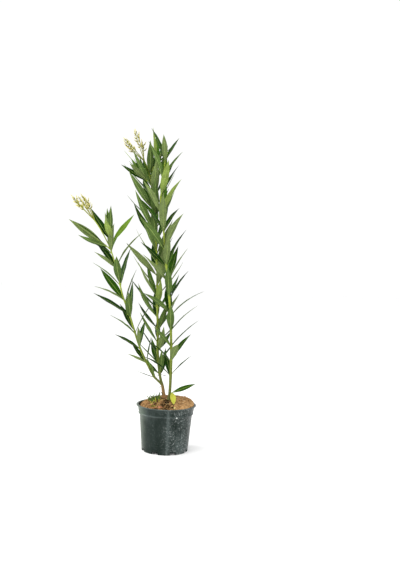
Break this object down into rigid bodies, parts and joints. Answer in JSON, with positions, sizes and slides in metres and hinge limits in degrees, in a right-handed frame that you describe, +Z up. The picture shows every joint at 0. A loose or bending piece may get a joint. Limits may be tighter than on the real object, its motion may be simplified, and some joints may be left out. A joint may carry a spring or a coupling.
{
  "type": "potted oleander",
  "caption": "Slim evergreen patio shrub: leafy canes with whorled lance-shaped leaves and pale blossom stalks in a round tapered nursery pot.",
  "frame": {"origin": "centre of the pot's flat underside, where the pot's axis meets the floor", "axes": "+Z up along the pot's axis; -X is the side that the left cane leans to; -Y is the front"},
  "size_m": [0.4245, 0.3022, 1.0168],
  "materials": {
    "pot_plastic": "dusty charcoal moulded plastic, soft sheen",
    "compost": "dry reddish brown coir compost, crumbly",
    "bark": "smooth olive brown young bark",
    "foliage": "leathery deep green leaves, paler grey-green below",
    "blossom": "pale yellow-green buds and stalks"
  },
  "bodies": {
    "root": {"pot": "pot_plastic", "compost": "compost", "trunk": "bark", "left_cane": "bark", "middle_cane": "bark", "right_cane": "bark", "left_foliage_lower": "foliage", "left_foliage_middle": "foliage", "left_foliage_upper": "foliage", "left_blossom": "blossom", "middle_foliage_lower": "foliage", "middle_foliage_middle": "foliage", "middle_foliage_high": "foliage", "middle_foliage_top": "foliage", "middle_blossom": "blossom", "right_foot_sprig": "foliage", "right_foliage_lower": "foliage", "right_foliage_middle": "foliage", "right_foliage_high": "foliage", "right_foliage_top": "foliage"}
  },
  "joints": []
}
